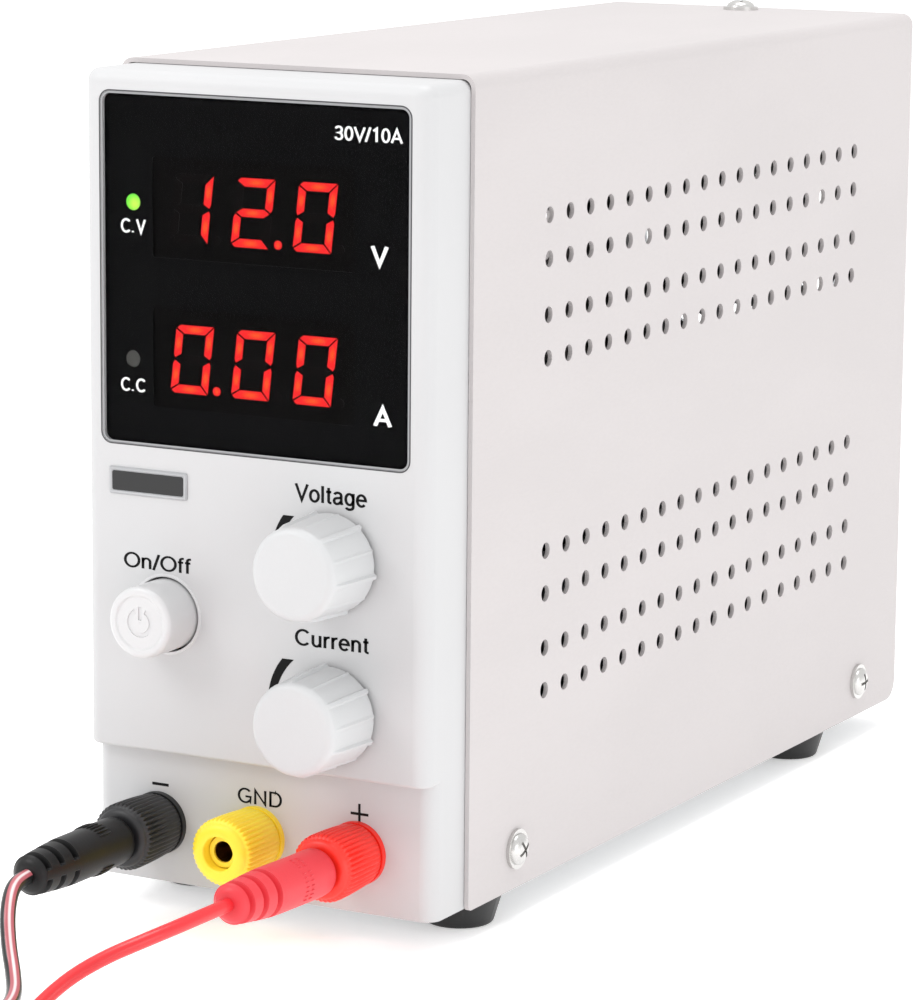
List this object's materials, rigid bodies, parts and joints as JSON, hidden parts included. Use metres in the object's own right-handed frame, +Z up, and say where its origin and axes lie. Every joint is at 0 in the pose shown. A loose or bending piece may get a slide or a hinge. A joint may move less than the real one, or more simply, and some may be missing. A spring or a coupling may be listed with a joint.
{
  "type": "bench power supply",
  "caption": "Slim upright bench power supply with digital voltage and current readouts, two knobs, a power button, screw-cap binding posts and plugged-in test leads.",
  "frame": {"origin": "on the surface the feet stand on, at the middle of the supply's width and length, its test leads left out", "axes": "+Z up, +Y from the front panel to the rear panel, +X to the right seen from the front"},
  "size_m": [0.0995, 0.3906, 0.1644],
  "materials": {
    "cover_paint": "fine textured off-white powder coat",
    "tray_steel": "plain zinc-plated sheet",
    "bezel_plastic": "satin white moulding",
    "window_plastic": "glossy dark display window",
    "badge_black": "black plate",
    "board_green": "solder-masked circuit board",
    "readout_black": "black-faced digit module",
    "lamp_green": "green diffused lamp",
    "lamp_dark": "unlit lamp",
    "knob_white": "satin white moulding",
    "button_white": "satin white moulding",
    "shaft_metal": "turned",
    "nickel": "bright nickel plate",
    "brass": "turned brass",
    "screw_steel": "zinc plated",
    "black_plastic": "black moulding",
    "cap_yellow": "yellow moulding",
    "cap_red": "orange-red moulding",
    "hood_black": "soft black moulding",
    "hood_red": "soft red moulding",
    "lead_black": "black cable jacket",
    "lead_red": "red cable jacket",
    "foot_rubber": "moulded black rubber",
    "heatsink_alu": "extruded",
    "ferrite": "dark ferrite",
    "winding_tape": "yellow tape over the winding",
    "choke_copper": "enamelled copper wire",
    "can_sleeve": "dark sleeve over the can",
    "fuse_glass": "glass tube with plated ends",
    "selector_red": "red slider"
  },
  "bodies": {
    "case": {"top_cover": "cover_paint", "chassis_tray": "tray_steel", "front_bezel": "bezel_plastic", "display_window": "window_plastic", "badge_plate": "badge_black", "display_board": "board_green", "readout_modules": "readout_black", "cv_lamp": "lamp_green", "cc_lamp": "lamp_dark", "control_board": "board_green", "pot_bodies": "nickel", "pot_nuts": "nickel", "power_switch": "black_plastic", "negative_collar": "black_plastic", "ground_collar": "cap_yellow", "positive_collar": "cap_red", "post_studs": "brass", "post_nuts": "nickel", "output_wires": "lead_red", "main_board": "board_green", "board_standoffs": "brass", "heatsinks": "heatsink_alu", "power_transistors": "black_plastic", "transformer_core": "ferrite", "transformer_winding": "winding_tape", "output_choke": "choke_copper", "capacitors": "can_sleeve", "fan_frame": "black_plastic", "inlet_shell": "black_plastic", "inlet_pins": "nickel", "selector_body": "black_plastic", "feet": "foot_rubber", "foot_screws": "screw_steel", "cover_screws": "screw_steel", "panel_screws": "screw_steel", "inner_screws": "screw_steel"},
    "voltage_knob": {"voltage_knob": "knob_white", "voltage_pot_shaft": "shaft_metal"},
    "current_knob": {"current_knob": "knob_white", "current_pot_shaft": "shaft_metal"},
    "power_button": {"power_button": "button_white"},
    "negative_sleeve": {"negative_cap_insert": "brass"},
    "negative_cap": {"negative_cap": "black_plastic"},
    "ground_sleeve": {"ground_cap_insert": "brass"},
    "ground_cap": {"ground_cap": "cap_yellow"},
    "positive_sleeve": {"positive_cap_insert": "brass"},
    "positive_cap": {"positive_cap": "cap_red"},
    "fan_rotor": {"fan_rotor": "black_plastic"},
    "fuse_drawer": {"fuse_drawer": "black_plastic", "fuse": "fuse_glass"},
    "selector_slider": {"selector_slider": "selector_red"},
    "black_test_lead": {"negative_plug_pins": "nickel", "negative_plug_hoods": "hood_black", "negative_lead": "lead_black", "negative_lead_coil": "lead_black"},
    "red_test_lead": {"positive_plug_pins": "nickel", "positive_plug_hoods": "hood_red", "positive_lead": "lead_red", "positive_lead_coil": "lead_red"}
  },
  "joints": [
    {"name": "voltage_knob_turn", "type": "hinge", "parent": "case", "child": "voltage_knob", "pos_m": [0.0171, -0.1042, 0.073], "axis": [0, 1, 0], "range_deg": [-120, 180]},
    {"name": "current_knob_turn", "type": "hinge", "parent": "case", "child": "current_knob", "pos_m": [0.0171, -0.1042, 0.0443], "axis": [0, 1, 0], "range_deg": [-150, 150]},
    {"name": "power_button_press", "type": "slide", "parent": "case", "child": "power_button", "axis": [0, 1, 0], "range_m": [-0.002, 0.0015], "stiffness_N_per_m": 500},
    {"name": "negative_cap_travel", "type": "slide", "parent": "case", "child": "negative_sleeve", "axis": [0, -1, 0], "range_m": [0, 0.0008]},
    {"name": "negative_cap_turn", "type": "hinge", "parent": "negative_sleeve", "child": "negative_cap", "pos_m": [-0.0228, -0.1082, 0.0178], "axis": [0, -1, 0], "range_deg": [0, 360]},
    {"name": "ground_cap_travel", "type": "slide", "parent": "case", "child": "ground_sleeve", "axis": [0, -1, 0], "range_m": [0, 0.004]},
    {"name": "ground_cap_turn", "type": "hinge", "parent": "ground_sleeve", "child": "ground_cap", "pos_m": [-0.001, -0.1082, 0.0178], "axis": [0, -1, 0], "range_deg": [0, 1800]},
    {"name": "positive_cap_travel", "type": "slide", "parent": "case", "child": "positive_sleeve", "axis": [0, -1, 0], "range_m": [0, 0.0008]},
    {"name": "positive_cap_turn", "type": "hinge", "parent": "positive_sleeve", "child": "positive_cap", "pos_m": [0.0208, -0.1082, 0.0178], "axis": [0, -1, 0], "range_deg": [0, 360]},
    {"name": "fan_spin", "type": "hinge", "parent": "case", "child": "fan_rotor", "pos_m": [0, 0.1078, 0.11], "axis": [0, 1, 0], "continuous": true},
    {"name": "fuse_drawer_slide", "type": "slide", "parent": "case", "child": "fuse_drawer", "axis": [0, 1, 0], "range_m": [0, 0.015]},
    {"name": "selector_slide", "type": "slide", "parent": "case", "child": "selector_slider", "axis": [1, 0, 0], "range_m": [0, 0.004]},
    {"name": "black_plug_pull", "type": "slide", "parent": "case", "child": "black_test_lead", "axis": [0, -1, 0], "range_m": [0, 0.022]},
    {"name": "red_plug_pull", "type": "slide", "parent": "case", "child": "red_test_lead", "axis": [0, -1, 0], "range_m": [0, 0.022]}
  ],
  "couplings": [
    {"joint": "negative_cap_turn", "follows": "negative_cap_travel", "rad_per_m": 7853.9},
    {"joint": "ground_cap_turn", "follows": "ground_cap_travel", "rad_per_m": 7853.9},
    {"joint": "positive_cap_turn", "follows": "positive_cap_travel", "rad_per_m": 7853.9}
  ]
}
